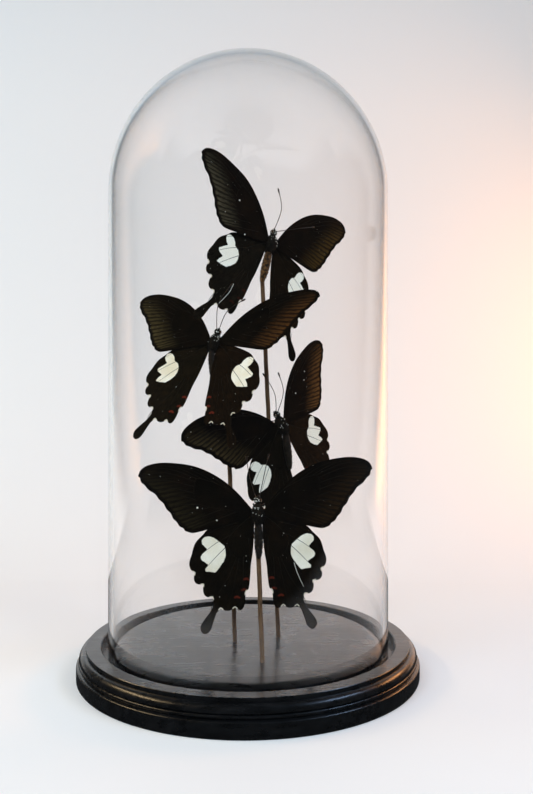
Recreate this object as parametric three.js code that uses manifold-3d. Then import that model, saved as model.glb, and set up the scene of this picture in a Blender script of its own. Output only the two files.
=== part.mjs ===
// Four swallowtail butterflies on wooden sticks under a glass dome.
// Millimetres, +Z up. The butterflies are seen best along +Y, with +X to the right.
// The origin is the middle of the base's underside.
import * as THREE from "three";
import { mergeVertices } from "three/addons/utils/BufferGeometryUtils.js";
import Module from "manifold-3d";

const wasm = await Module();
wasm.setup();

// ---------- driving dimensions ----------
const GAP = 0.3; // clearance between touching pieces

const BASE_RADIUS = 91.4;
const BASE_HEIGHT = 16.5;
const BASE_SEGMENTS = 48;
const RING_RADIUS = 85.6; // outer edge of the flat ring on top
const GROOVE_OUTER = 78.5;
const GROOVE_INNER = 71.8;
const GROOVE_FLOOR = 11.5;
const DISC_FLAT = 68; // where the disc's shallow bevel starts

const GLASS_RADIUS = 75;
const GLASS_WALL = 2.5;
const GLASS_SPRING = 255; // height at which the round top starts
const GLASS_LIP = 0.8; // how far the rim's edges are rounded off
const GLASS_SEGMENTS = 32;
const GLASS_ARC_STEPS = 8;

const STICK_RADIUS = 1.2;
const STICK_SIDES = 12;
const HOLE_DEPTH = 8; // how deep the holes for the sticks are
const STICK_FOOT = BASE_HEIGHT - HOLE_DEPTH + GAP;
// Where each stick leaves the base, and its top end.
const STICKS = {
  left: { foot: [-7, -7.3, BASE_HEIGHT], top: [-11.6, -12.8, 171] },
  front: { foot: [7.9, -40.3, BASE_HEIGHT], top: [5.2, -34.8, 80] },
  right: { foot: [16.5, 0.4, BASE_HEIGHT], top: [7.3, 0.5, 213] },
};

// A wing lies in its own plane: [outward, forward] from the root.
const WING_THICKNESS = 0.5;
const WING_GRID = 4; // steps each way in a wing's bend
const WING_CUT = 8; // half the height of the outline that cuts a wing out
const WING_ROOT = 2; // from the body's middle line to the wing root
const WING_STEP = 0.45; // the forewing lies this much above the middle plane, the hindwing below
const WING_SAG = 1.6; // how far a wing bends down, SAG_REACH from its root
const SAG_REACH = 60;
const SCALLOPS = 7;
const SCALLOP_DEPTH = 0.5;
const LOBE_STEPS = 4;
const FOREWING_FRONT = [
  [1, 0.5], [9.6, 10.2], [19.5, 17.5], [30, 21.8], [42.5, 23.4], [50.5, 22.6], [55.2, 20.3], [57, 16.8],
];
const FOREWING_MARGIN = [[57, 16.8], [54.4, 12.3], [47.6, 6.3], [42.4, -0.4], [38, -6.6], [34, -10.2]];
const FOREWING_BACK = [[30.5, -11.2], [26.8, -10.6], [21.5, -9.1], [5, -4], [1, -2]];
const HINDWING_FRONT = [[1, -1], [10, -4], [21.5, -9.1], [25.2, -12.7], [29, -17], [30.8, -22.8]];
// Each lobe of the hindwing's edge: the notch it starts from, the point its curve pulls to.
const HINDWING_LOBES = [
  { notch: [30.8, -22.8], pull: [33.8, -29.4] },
  { notch: [29.3, -31.6], pull: [31, -38.2] },
  { notch: [25, -37.2], pull: [26, -44.8] },
];
const TAIL_EDGE = [
  [20.6, -43.4], [19.9, -46.4], [21.3, -50.3], [24.2, -54.3], [26.4, -58], [26, -61],
  [23.9, -62], [21.5, -60], [20, -55.6], [18.6, -51.4],
];
const INNER_LOBES = [
  { notch: [16.5, -48.9], pull: [12.7, -51.6] },
  { notch: [9.4, -48.2], pull: [5.2, -52] },
];
const HINDWING_INNER = [
  [4.3, -45], [4, -40.6], [2.6, -38.6], [1.9, -33], [1.5, -27], [0.6, -20.7], [0, -12], [0, -4],
];

// The body along its length: [forward, radius].
const BODY_OUTLINE = [
  [-24.3, 0], [-24, 0.9], [-22.2, 1.5], [-18, 2.1], [-12, 2.3], [-8.6, 1.9], [-7.4, 1.7],
  [-5.6, 2.7], [-1.5, 3.1], [1.8, 2.4], [3.3, 1.2], [4.2, 1.8], [5.6, 1.7], [6.5, 0.8], [6.6, 0],
];
const BODY_DEPTH = 1.08; // the body is this much deeper than it is wide
const BODY_SIDES = 9;
const WAIST = -7.4; // the abdomen bends behind this
const FEELER_RADIUS = 0.22;
const FEELER_ROOT = [0.7, 5.6, 0.6]; // on the right side of the head
const FEELER_BOW = [0.8, 4.2]; // how far a feeler bows out and up in its middle
const FEELER_CLUB = 0.5;
const LEG_RADIUS = 0.28;
const LEG_ROWS = [1.4, -1.6, -4.4];
// The joints of a folded right leg, from its row on the chest.
const LEG_JOINTS = [[0.8, 0, -1.2], [2.8, 1, -3.9], [1.2, -3, -4.5], [1.4, -4.4, -3.9]];

// One entry for each butterfly. lean tips the head right, nod tips it to the front and roll
// brings the right wings to the front, in degrees. lift, twist and the sweeps turn the wings,
// [left, right]. droop and swing bend the abdomen down and to the right.
// feelers are the tips of the left and right feeler in the body's own frame.
const BUTTERFLIES = {
  front: {
    place: [5.5, -39.5, 91.5], lean: -1, nod: 1, roll: 4, size: 1.01,
    lift: [0, -16], drop: [0, 0], twist: [-1, 1], foreSweep: [0, 1], hindSweep: [1, 1],
    droop: 0, swing: 0, feelers: [[-5, 27, 5], [6, 28, 4]],
  },
  left: {
    place: [-17, -15.5, 177], lean: 15, nod: -19, roll: 33, size: 0.985,
    lift: [6, 3], drop: [0, 0], twist: [1, -4], foreSweep: [4, 9], hindSweep: [6, 4],
    droop: 12, swing: 16, feelers: [[15.6, 21.6, 20], [18, 19, 9]],
  },
  top: {
    place: [12.5, 0, 232], lean: 13, nod: -9, roll: -46, size: 1,
    lift: [-4, 7], drop: [3, 0], twist: [-3, 0], foreSweep: [8, 12], hindSweep: [9, 9],
    droop: 0, swing: 0, feelers: [[-12, 24, 8], [18, 15, 12]],
  },
  right: {
    place: [17, -5.5, 133.5], lean: -24, nod: 16, roll: -46, size: 0.99,
    lift: [-14, 2], drop: [0, 0], twist: [2, 3], foreSweep: [5, 3], hindSweep: [4, 3],
    droop: -4, swing: -28, feelers: [[1, 29, 2], [9, 25, 5]],
  },
};

// ---------- materials ----------
const finish = (color, roughness, extra = {}) =>
  new THREE.MeshStandardMaterial({ color, roughness, metalness: 0, ...extra });
const blackWood = finish("#15140f", 0.45);
const stickWood = finish("#6b4a2e", 0.7);
const clearGlass = finish("#f4f8fa", 0.03, { transparent: true, opacity: 0.2 });
const wingScales = finish("#1b1812", 0.75);
const bodyHair = finish("#17140f", 0.9);

// ---------- helpers ----------
const radians = THREE.MathUtils.degToRad;

// A closed geometry as a solid that can be joined and cut.
function solidOf(geometry) {
  const bare = geometry.clone();
  bare.deleteAttribute("normal");
  bare.deleteAttribute("uv");
  const merged = mergeVertices(bare, 1e-4);
  return new wasm.Manifold(
    new wasm.Mesh({
      numProp: 3,
      vertProperties: new Float32Array(merged.attributes.position.array),
      triVerts: new Uint32Array(merged.index.array),
    }),
  );
}

function geometryOf(solid) {
  const mesh = solid.getMesh();
  const geometry = new THREE.BufferGeometry();
  geometry.setAttribute("position", new THREE.BufferAttribute(mesh.vertProperties, 3));
  geometry.setIndex(new THREE.BufferAttribute(mesh.triVerts, 1));
  geometry.computeVertexNormals();
  return geometry;
}

function named(name, geometry, material) {
  const mesh = new THREE.Mesh(geometry, material);
  mesh.name = name;
  return mesh;
}

const toVectors = (points) => points.map(([x, y]) => new THREE.Vector2(x, y));

// A lathe around +Z, from [radius, height] points that run from the bottom to the top.
function turned(profile, segments) {
  return new THREE.LatheGeometry(toVectors(profile), segments).rotateX(Math.PI / 2);
}

// A smooth curve through points, with a few steps between each two.
function smooth(points, steps) {
  return new THREE.SplineCurve(toVectors(points)).getPoints(steps * (points.length - 1));
}

// A round rod between two points.
function rod(from, to, radius, sides) {
  const start = new THREE.Vector3(...from);
  const along = new THREE.Vector3(...to).sub(start);
  const geometry = new THREE.CylinderGeometry(radius, radius, along.length(), sides);
  const turn = new THREE.Quaternion().setFromUnitVectors(
    new THREE.Vector3(0, 1, 0),
    along.clone().normalize(),
  );
  return geometry.applyQuaternion(turn).translate(...start.addScaledVector(along, 0.5).toArray());
}

// A thin round tube along points.
function tube(points, radius, steps, sides) {
  const section = new THREE.Shape();
  for (let side = 0; side < sides; side += 1) {
    const angle = (2 * Math.PI * side) / sides;
    const x = radius * Math.cos(angle);
    const y = radius * Math.sin(angle);
    if (side === 0) section.moveTo(x, y);
    else section.lineTo(x, y);
  }
  section.closePath();
  const extrudePath = new THREE.CatmullRomCurve3(points.map((p) => new THREE.Vector3(...p)));
  return new THREE.ExtrudeGeometry(section, { steps, extrudePath, bevelEnabled: false });
}

// ---------- base ----------
// The point on a stick's line at height z.
function onStick({ foot, top }, z) {
  const from = new THREE.Vector3(...foot);
  const to = new THREE.Vector3(...top);
  return from.lerp(to, (z - foot[2]) / (top[2] - foot[2])).toArray();
}

function makeBase() {
  const profile = [
    [0, 0], [90.2, 0], [BASE_RADIUS, 1.2], [BASE_RADIUS, 6.9], [90.4, 8],
    [89.3, 8.3], [90.1, 8.9], [90.1, 9.8], [89, 10.3],
    [89.3, 11.2], [88.9, 12.8], [87.9, 14.4], [86.5, 15.5], [RING_RADIUS, BASE_HEIGHT],
    [GROOVE_OUTER, BASE_HEIGHT], [GROOVE_OUTER, GROOVE_FLOOR], [GROOVE_INNER, GROOVE_FLOOR],
    [GROOVE_INNER, BASE_HEIGHT - 0.9], [DISC_FLAT, BASE_HEIGHT], [0, BASE_HEIGHT],
  ];
  let solid = solidOf(turned(profile, BASE_SEGMENTS));
  for (const stick of Object.values(STICKS)) {
    const floor = onStick(stick, BASE_HEIGHT - HOLE_DEPTH);
    const mouth = onStick(stick, BASE_HEIGHT + STICK_RADIUS);
    const hole = rod(floor, mouth, STICK_RADIUS + GAP, STICK_SIDES);
    solid = solid.subtract(solidOf(hole));
  }
  return named("wooden_base", geometryOf(solid), blackWood);
}

// ---------- glass ----------
function makeDome() {
  const foot = GROOVE_FLOOR + GAP;
  const inner = GLASS_RADIUS - GLASS_WALL;
  const arc = (radius, step) => {
    const angle = (Math.PI / 2) * (step / GLASS_ARC_STEPS);
    return [radius * Math.cos(angle), GLASS_SPRING + radius * Math.sin(angle)];
  };
  const profile = [];
  for (let step = GLASS_ARC_STEPS; step >= 0; step -= 1) profile.push(arc(inner, step));
  profile[0][0] = 0;
  profile.push([inner, foot + GLASS_LIP], [inner + GLASS_LIP, foot]);
  profile.push([GLASS_RADIUS - GLASS_LIP, foot], [GLASS_RADIUS, foot + GLASS_LIP]);
  for (let step = 0; step <= GLASS_ARC_STEPS; step += 1) profile.push(arc(GLASS_RADIUS, step));
  profile.at(-1)[0] = 0;
  return named("glass_dome", turned(profile, GLASS_SEGMENTS), clearGlass);
}

function makeStick(name, stick) {
  const geometry = rod(onStick(stick, STICK_FOOT), stick.top, STICK_RADIUS, STICK_SIDES);
  return named(`stick_${name}`, geometry, stickWood);
}

// ---------- wings ----------
// The forewing's outer edge, drawn in a little between each two veins.
function scalloped(points) {
  const edge = smooth(points, 8);
  const length = edge.length - 1;
  const picked = [];
  for (let step = 1; step < 2 * SCALLOPS; step += 1) {
    const at = Math.round((step / (2 * SCALLOPS)) * length);
    const along = edge[at + 1].clone().sub(edge[at - 1]).normalize();
    const inward = new THREE.Vector2(along.y, -along.x);
    const shift = step % 2 ? 0 : SCALLOP_DEPTH;
    picked.push(edge[at].clone().addScaledVector(inward, shift));
  }
  return picked;
}

function forewingOutline() {
  return [
    ...toVectors(FOREWING_FRONT),
    ...scalloped(FOREWING_MARGIN),
    ...toVectors([FOREWING_MARGIN.at(-1)]),
    ...toVectors(FOREWING_BACK),
  ];
}

// Points of rounded lobes, each from its notch to the next one's, without the end of the last.
function lobes(list, end) {
  return list.flatMap(({ notch, pull }, i) => {
    const next = list[i + 1]?.notch ?? end;
    const curve = new THREE.QuadraticBezierCurve(...toVectors([notch, pull, next]));
    return curve.getPoints(LOBE_STEPS).slice(0, -1);
  });
}

function hindwingOutline() {
  return [
    ...toVectors(HINDWING_FRONT).slice(0, -1),
    ...lobes(HINDWING_LOBES, TAIL_EDGE[0]),
    ...toVectors(TAIL_EDGE),
    ...lobes(INNER_LOBES, HINDWING_INNER[0]),
    ...toVectors(HINDWING_INNER),
  ];
}

// How far a wing has bent down at a point of its plane.
const sag = (x, y) => -WING_SAG * ((x * x + y * y) / (SAG_REACH * SAG_REACH));

// A thin sheet with the wing's outline, bent as the wing is.
function wingSolid(outline, height) {
  const box = new THREE.Box2().setFromPoints(outline).expandByScalar(2);
  const size = box.getSize(new THREE.Vector2());
  const middle = box.getCenter(new THREE.Vector2());
  const sheet = new THREE.BoxGeometry(size.x, size.y, WING_THICKNESS, WING_GRID, WING_GRID, 1);
  sheet.translate(middle.x, middle.y, height);
  const place = sheet.attributes.position;
  for (let i = 0; i < place.count; i += 1) {
    place.setZ(i, place.getZ(i) + sag(place.getX(i), place.getY(i)));
  }
  const cutter = new THREE.ExtrudeGeometry(new THREE.Shape(outline), {
    depth: 2 * WING_CUT,
    bevelEnabled: false,
  });
  cutter.translate(0, 0, -WING_CUT);
  return solidOf(sheet).intersect(solidOf(cutter));
}

// The turn and shift that put a right wing on its body.
function wingPlace({ size }, lift, twist, sweep) {
  const turn = new THREE.Matrix4().makeRotationY(-radians(lift));
  turn.multiply(new THREE.Matrix4().makeRotationX(radians(twist)));
  turn.multiply(new THREE.Matrix4().makeRotationZ(radians(sweep)));
  turn.multiply(new THREE.Matrix4().makeScale(size, size, 1));
  return new THREE.Matrix4().makeTranslation(WING_ROOT * size, 0, 0).multiply(turn);
}

// ---------- body ----------
// Bends what lies behind the waist down and to the right.
function bendAbdomen(geometry, { droop, swing }) {
  const place = geometry.attributes.position;
  for (let i = 0; i < place.count; i += 1) {
    const behind = Math.max(0, WAIST - place.getY(i));
    place.setX(i, place.getX(i) + behind * Math.tan(radians(swing)));
    place.setZ(i, place.getZ(i) - behind * Math.tan(radians(droop)));
  }
  return geometry;
}

// Head, chest and abdomen, with extra added all over.
function trunk(butterfly, extra) {
  const outline = BODY_OUTLINE.map(([y, r]) => [r > 0 ? r + extra : 0, y]);
  outline[0][1] -= extra;
  outline.at(-1)[1] += extra;
  const shape = new THREE.LatheGeometry(toVectors(outline), BODY_SIDES);
  shape.scale(1, 1, BODY_DEPTH);
  return bendAbdomen(shape, butterfly);
}

function feeler(tip, side) {
  const start = [side * FEELER_ROOT[0], FEELER_ROOT[1], FEELER_ROOT[2]];
  const middle = [
    0.45 * tip[0] + side * FEELER_BOW[0],
    0.5 * (start[1] + tip[1]),
    0.5 * tip[2] + FEELER_BOW[1],
  ];
  return tube([start, middle, tip], FEELER_RADIUS, 5, 4);
}

function feelerClub(tip) {
  return new THREE.SphereGeometry(FEELER_CLUB, 5, 3).scale(1, 2.2, 1).translate(...tip);
}

function leg(side, row) {
  const points = LEG_JOINTS.map(([out, forward, up]) => [side * out, row + forward, up]);
  return tube(points, LEG_RADIUS, 3, 4);
}

function makeBody(name, butterfly) {
  let solid = solidOf(trunk(butterfly, 0));
  const [leftTip, rightTip] = butterfly.feelers;
  for (const [tip, side] of [[leftTip, -1], [rightTip, 1]]) {
    solid = solid.add(solidOf(feeler(tip, side))).add(solidOf(feelerClub(tip)));
  }
  for (const side of [-1, 1]) {
    for (const row of LEG_ROWS) solid = solid.add(solidOf(leg(side, row)));
  }
  return named(`${name}_butterfly_body`, geometryOf(solid), bodyHair);
}

// ---------- a whole butterfly ----------
function makeButterfly(name, butterfly) {
  const inner = new THREE.Group();
  inner.rotation.x = Math.PI / 2; // head up, back to the front
  inner.add(makeBody(name, butterfly));
  const room = solidOf(trunk(butterfly, GAP));
  const foreShape = wingSolid(forewingOutline(), WING_STEP);
  const hindShape = wingSolid(hindwingOutline(), -WING_STEP);
  const sides = [["left", 0, -1], ["right", 1, 1]];
  for (const [side, index, sign] of sides) {
    const { lift, drop, twist, foreSweep, hindSweep } = butterfly;
    const wings = [
      ["forewing", foreShape, lift[index], foreSweep[index]],
      ["hindwing", hindShape, lift[index] - drop[index], hindSweep[index]],
    ];
    for (const [wing, shape, raise, sweep] of wings) {
      const place = wingPlace(butterfly, raise, twist[index], sweep);
      place.premultiply(new THREE.Matrix4().makeScale(sign, 1, 1));
      const solid = shape.transform(place.elements).subtract(room);
      const whole = largest(solid);
      inner.add(named(`${name}_butterfly_${side}_${wing}`, geometryOf(whole), wingScales));
    }
  }
  const outer = new THREE.Group();
  outer.add(inner);
  const { nod, lean, roll } = butterfly;
  outer.rotation.set(radians(nod), radians(lean), -radians(roll), "YXZ");
  outer.position.set(...butterfly.place);
  return outer;
}

// The biggest piece of a solid, without the crumbs that a cut leaves.
function largest(solid) {
  return solid.decompose().sort((a, b) => b.volume() - a.volume())[0];
}

// ---------- assembly ----------
const part = new THREE.Group();
part.add(makeBase());
part.add(makeDome());
for (const [name, stick] of Object.entries(STICKS)) part.add(makeStick(name, stick));
for (const [name, butterfly] of Object.entries(BUTTERFLIES)) {
  part.add(makeButterfly(name, butterfly));
}

export default part;
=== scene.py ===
import math
import random

import bmesh
import bpy
from mathutils import Matrix, Vector, noise
from mathutils.geometry import intersect_point_line


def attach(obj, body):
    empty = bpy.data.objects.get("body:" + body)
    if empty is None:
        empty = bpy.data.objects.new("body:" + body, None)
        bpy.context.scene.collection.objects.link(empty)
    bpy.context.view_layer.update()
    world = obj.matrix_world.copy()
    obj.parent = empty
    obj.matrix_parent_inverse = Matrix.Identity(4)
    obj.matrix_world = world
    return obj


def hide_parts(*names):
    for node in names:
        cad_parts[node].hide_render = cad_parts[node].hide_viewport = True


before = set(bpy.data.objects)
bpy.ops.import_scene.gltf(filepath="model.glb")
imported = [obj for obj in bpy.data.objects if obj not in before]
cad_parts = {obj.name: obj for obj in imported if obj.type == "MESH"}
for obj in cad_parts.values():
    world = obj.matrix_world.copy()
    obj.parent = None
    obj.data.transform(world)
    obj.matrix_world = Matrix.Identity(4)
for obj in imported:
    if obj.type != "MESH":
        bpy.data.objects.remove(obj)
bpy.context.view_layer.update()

MM = 0.001

# ---------- driving dimensions: the solids' own, and finer ones for edges and markings ----------
BASE_HEIGHT = 16.5
BASE_RADIUS = 91.4
FOOT_HEIGHT = 7.9  # the upright foot of the base's rim
BEAD = (86.4, 10.9)  # the rounded bead's centre in the rim's profile
BEAD_WIDTH = 3.5
BEAD_HEIGHT = 3.6
RING_RADIUS = 86
GROOVE_OUTER = 78.5
GROOVE_INNER = 71.8
GROOVE_FLOOR = 11.5
DISC_FLAT = 68
GLASS_RADIUS = 75
GLASS_WALL = 2.5
GLASS_SPRING = 255
GLASS_FOOT = 11.8
GLASS_RINGS = (40, 80, 120, 160, 200, 235)  # heights of extra rings in the upright wall
STICK_RADIUS = 1.2
STICK_PIECE = 6  # a stick sways a little from one such length to the next
STICK_SWAY = 0.12
STICKS = {
    "left": {"foot": (-7, -7.3, 9), "top": (-11.6, -12.8, 171)},
    "front": {"foot": (7.9, -40.3, 9), "top": (5.2, -34.8, 80)},
    "right": {"foot": (16.5, 0.4, 9), "top": (7.3, 0.5, 213)},
}

WING_THICKNESS = 0.14
WING_ROOT = 2
WING_STEP = 0.45
WING_SAG = 1.6
SAG_REACH = 60
WAVE_HEIGHT = 0.7  # how far a dried wing's edge waves up and down
WAVE_LENGTH = 17
SCALLOPS = 7
SCALLOP_DEPTH = 0.5
VEIN_RADII = (0.2, 0.1)  # at the start and at the margin
SPLIT_RADII = (0.13, 0.1)
SHEET_GRID = 0.7  # spacing of a wing's mesh

# Wing outlines in the wing's own plane, [outward, forward] from the root.
FOREWING_FRONT = [
    (1, 0.5), (9.6, 10.2), (19.5, 17.5), (30, 21.8), (42.5, 23.4), (50.5, 22.6), (55.2, 20.3),
    (57, 16.8),
]
FOREWING_MARGIN = [(57, 16.8), (54.4, 12.3), (47.6, 6.3), (42.4, -0.4), (38, -6.6), (34, -10.2)]
FOREWING_BACK = [(30.5, -11.2), (26.8, -10.6), (21.5, -9.1), (5, -4), (1, -2)]
HINDWING_FRONT = [(1, -1), (10, -4), (21.5, -9.1), (25.2, -12.7), (29, -17), (30.8, -22.8)]
HINDWING_LOBES = [
    ((30.8, -22.8), (33.8, -29.4)), ((29.3, -31.6), (31, -38.2)), ((25, -37.2), (26, -44.8)),
]
TAIL_EDGE = [
    (20.6, -43.4), (19.9, -46.4), (21.3, -50.3), (24.2, -54.3), (26.4, -58), (26, -61),
    (23.9, -62), (21.5, -60), (20, -55.6), (18.6, -51.4),
]
INNER_LOBES = [((16.5, -48.9), (12.7, -51.6)), ((9.4, -48.2), (5.2, -52))]
HINDWING_INNER = [
    (4.3, -45), (4, -40.6), (2.6, -38.6), (1.9, -33), (1.5, -27), (0.6, -20.7), (0, -12), (0, -4),
]

# The streaks of a forewing fan out from a far hub, two between each two of these rays.
FORE_HUB = Vector((-47, 24, 0))
FORE_RAYS = [
    (52, 22.4), (57, 16.8), (55.2, 13.4), (51.4, 9.6), (46.9, 5.4), (43.1, 0.6), (39.9, -3.9),
    (36.9, -7.8), (34, -10.2), (27, -10.6),
]
STREAK_LINE = ((21, -9), (44, 17))  # the streaks lie outside this line
# Veins, each from its start through its middle to the margin.
FORE_VEINS = [
    [(9, 8.2), (22, 17.2), (36, 22.5)], [(18, 13), (30, 19.6), (43, 23)],
    [(24.5, 15), (37, 20.7), (49.5, 22.5)], [(27.5, 15.4), (41, 20.2), (54, 20.8)],
    [(28.5, 14), (43, 18.4), (56.6, 16.8)], [(29, 11.6), (42.5, 14.6), (54.8, 13.4)],
    [(29.2, 8.4), (40.5, 11), (51, 9.7)], [(28.8, 5.4), (38, 7.2), (46.6, 5.5)],
    [(27.2, 2.9), (35.2, 2.8), (42.8, 0.7)], [(21.5, 1.4), (31.5, -1.2), (39.5, -3.8)],
    [(15.5, 0.4), (27, -3.8), (36.5, -7.6)], [(9, -1), (21, -5.8), (32.6, -10.4)],
]
FORE_CELL = [
    (1.5, 0.4), (9, 8.2), (18, 13), (27.5, 15.4), (29.3, 10), (28.8, 5.4), (27.2, 2.9),
    (15.5, 0.4), (1.5, -1),
]
HIND_HUB = Vector((2.5, -9.5, 0))
HIND_RAYS = [
    (27.6, -16.6), (31.6, -27.4), (29.2, -35.4), (24.9, -41.9), (20.3, -46.6), (12.8, -49.7),
    (6.3, -48.9), (3.2, -38.6),
]
HIND_VEINS = [
    [(8, -6.4), (18, -9.6), (26.6, -15)], [(11, -12.2), (20.5, -18), (31.6, -27.4)],
    [(12.6, -17.4), (19, -23.8), (29.2, -35.4)], [(11, -21.4), (16, -29), (24.9, -41.9)],
    [(8.6, -24), (13, -34), (20.2, -45.8), (21.4, -52), (24.3, -59)],
    [(7.4, -24.2), (9.6, -36), (12.8, -49.5)], [(5, -23), (5.4, -36), (6.4, -48.6)],
    [(2.6, -14), (2.2, -26), (3, -38)],
]
HIND_CELL = [
    (1, -3), (5, -6), (11, -12.2), (12.9, -16.5), (11, -21.4), (7.4, -24.2), (4.6, -22.4),
    (2.6, -14),
]

# The white patch of a hindwing. On some wings its foremost finger stands apart.
PATCH = [
    (22, -13.4), (24.3, -13.8), (25.7, -15.2), (25.6, -17.2), (22.9, -19.8), (25.6, -22.4),
    (26.3, -23.8), (25.8, -25.2), (22.2, -27.5), (24.1, -29.4), (23.8, -30.8), (21.6, -30.8),
    (19, -31.2), (17.2, -29), (14.7, -25.3), (13.8, -22.7), (14.1, -19.3), (14.5, -18), (17, -16),
    (19.7, -14.1),
]
FINGER_PATCH = [
    (21, -12), (23, -11.6), (24.9, -12.6), (25.1, -14.6), (24, -16.4), (22.5, -17.5),
    (24.6, -19.4), (26.9, -21.6), (26.5, -23.1), (22.9, -24.5), (24.6, -26.8), (25.2, -28.7),
    (22.5, -28.8), (19, -28.5), (16.6, -26.4), (14.6, -23.9), (13.9, -21.3), (14.2, -18.8),
    (15.6, -16.6), (18.4, -15.4), (19.3, -13.5),
]
RED_BARS = [
    [(2.6, -34.4), (3.6, -33.8), (4.9, -34.2)], [(3.9, -39.7), (4.9, -39.2), (5.9, -39.6)],
    [(7.2, -43.4), (8.3, -42.9), (9.4, -43.4)],
]
# Thin pale splits in two wings, and bigger crumbs of dust as (outward, forward, radius).
SPLITS = {
    "front_butterfly_right_hindwing": [(15.4, -27.4), (17, -33), (19.9, -39.9)],
    "top_butterfly_left_hindwing": [(11.3, -34.3), (12, -40), (15.2, -48.2)],
}
CRUMBS = {
    "front_butterfly_left_forewing": [(27.7, 1.2, 0.55), (18.2, -5, 0.4)],
    "top_butterfly_left_forewing": [(26.6, 7.4, 0.5), (16.6, -7.4, 0.5)],
    "right_butterfly_right_forewing": [(18, 6.6, 0.45), (32.2, 12.6, 0.4), (28.9, 8.9, 0.4)],
    "front_butterfly_left_hindwing": [(16, -4.4, 0.4), (18.6, -6, 0.35)],
}
DUST_ON_WING = 12

# The body along its length: (forward, radius).
HEAD = [(2.9, 0), (3.1, 1), (3.9, 1.55), (4.8, 1.7), (5.8, 1.45), (6.4, 0.8), (6.6, 0)]
CHEST = [(-8, 0), (-7.6, 1.2), (-5.8, 2.5), (-3.4, 2.95), (-1.5, 3.05), (0.6, 2.75), (2.4, 1.9),
         (3.2, 1.1), (3.5, 0)]
ABDOMEN = [(-24.3, 0), (-24, 0.9), (-22.2, 1.5), (-18, 2.1), (-12, 2.25), (-8.6, 1.85), (-6.8, 1.6),
           (-5.6, 0)]
ABDOMEN_RINGS = 8
BODY_DEPTH = 1.08
WAIST = -7.4
FEELER_ROOT = (0.7, 5.6, 0.6)
FEELER_BOW = (0.8, 4.2)
FEELER_CLUB = [0.24, 0.4, 0.46, 0.2]  # radii of the thick tip
HAIRS_IN_TUFT = 50
WHITE_TUFTS = 26
# Hair as (outline, count, length, thickness at the root).
HAIR_COATS = [(CHEST, 1100, 1.25, 0.07), (HEAD, 260, 0.7, 0.05), (ABDOMEN, 700, 0.6, 0.045)]
EYE_PLACE = (1.25, 4.7, 0.25)
EYE_RADIUS = 1.02
PALP = [(0.45, 5.6, -0.7), (0.5, 6.5, -0.3), (0.45, 7.1, 0.3)]
TONGUE_COIL = (0, 6.1, -1.1)  # the middle of the coiled tongue
TONGUE_REACH = 0.9
TONGUE_STEPS = 28
TONGUE_CLOSES = 34  # the step at which its coil would shrink to a point
LEG_ROWS = (1.4, -1.6, -4.4)
LEG_JOINTS = [(0.8, 0, -1.2), (2.8, 1, -3.9), (1.2, -3, -4.5), (1.4, -4.4, -3.9)]

# Each butterfly's streaks are (left, right) colours with painted backlight in them: a side that light
# shines through gets a lighter, browner colour.
BUTTERFLIES = {
    "front": {
        "place": (5.5, -39.5, 91.5), "lean": -1, "nod": 1, "roll": 4, "size": 1.01,
        "lift": (0, -16), "drop": (0, 0), "twist": (-1, 1), "fore_sweep": (0, 1),
        "hind_sweep": (1, 1), "droop": 0, "swing": 0, "feelers": ((-5, 27, 5), (6, 28, 4)),
        "streaks": ("#221d0f", "#241809"), "patch": "#e8dfc8", "red": 0.45, "finger": False,
        "abdomen": "#1c1712", "seed": 3,
    },
    "left": {
        "place": (-17, -15.5, 177), "lean": 15, "nod": -19, "roll": 33, "size": 0.985,
        "lift": (6, 3), "drop": (0, 0), "twist": (1, -4), "fore_sweep": (4, 9),
        "hind_sweep": (6, 4), "droop": 12, "swing": 16,
        "feelers": ((15.6, 21.6, 20), (18, 19, 9)),
        "streaks": ("#453b22", "#482d14"), "patch": "#e8dabc", "red": 0.6, "finger": True,
        "abdomen": "#1c1712", "seed": 5,
    },
    "top": {
        "place": (12.5, 0, 232), "lean": 13, "nod": -9, "roll": -46, "size": 1,
        "lift": (-4, 7), "drop": (3, 0), "twist": (-3, 0), "fore_sweep": (8, 12),
        "hind_sweep": (9, 9), "droop": 0, "swing": 0, "feelers": ((-12, 24, 8), (18, 15, 12)),
        "streaks": ("#454031", "#463415"), "patch": "#fbf9ec", "red": 0.12, "finger": True,
        "abdomen": "#6b4a2a", "seed": 7,
    },
    "right": {
        "place": (17, -5.5, 133.5), "lean": -24, "nod": 16, "roll": -46, "size": 0.99,
        "lift": (-14, 2), "drop": (0, 0), "twist": (2, 3), "fore_sweep": (5, 3),
        "hind_sweep": (4, 3), "droop": -4, "swing": -28, "feelers": ((1, 29, 2), (9, 25, 5)),
        "streaks": ("#3a301d", "#664422"), "patch": "#fbf8ea", "red": 0.3, "finger": True,
        "abdomen": "#241d16", "seed": 11,
    },
}


# ---------- materials ----------
def linear(code):
    """An sRGB hex colour as linear red, green, blue and alpha."""
    parts = [int(code[i : i + 2], 16) / 255 for i in (1, 3, 5)]
    return [c / 12.92 if c <= 0.04045 else ((c + 0.055) / 1.055) ** 2.4 for c in parts] + [1]


def start(name):
    """A new material, with its node tree and its surface shader."""
    material = bpy.data.materials.new(name)
    material.use_nodes = True
    return material, material.node_tree, material.node_tree.nodes["Principled BSDF"]


def add(tree, kind, links=(), **settings):
    """Adds a node with its settings. links are (input, value or output socket)."""
    node = tree.nodes.new(kind)
    for key, value in settings.items():
        setattr(node, key, value)
    for key, value in links:
        if isinstance(value, bpy.types.NodeSocket):
            tree.links.new(value, node.inputs[key])
        else:
            node.inputs[key].default_value = value
    return node


def glass_blown():
    """Clear blown borosilicate glass: it shows only by its rim lines and soft reflections."""
    material, _, shader = start("clear blown glass")
    shader.inputs["Base Color"].default_value = linear("#ffffff")
    shader.inputs["Roughness"].default_value = 0.0
    shader.inputs["IOR"].default_value = 1.47
    shader.inputs["Transmission Weight"].default_value = 1.0
    return material


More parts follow.
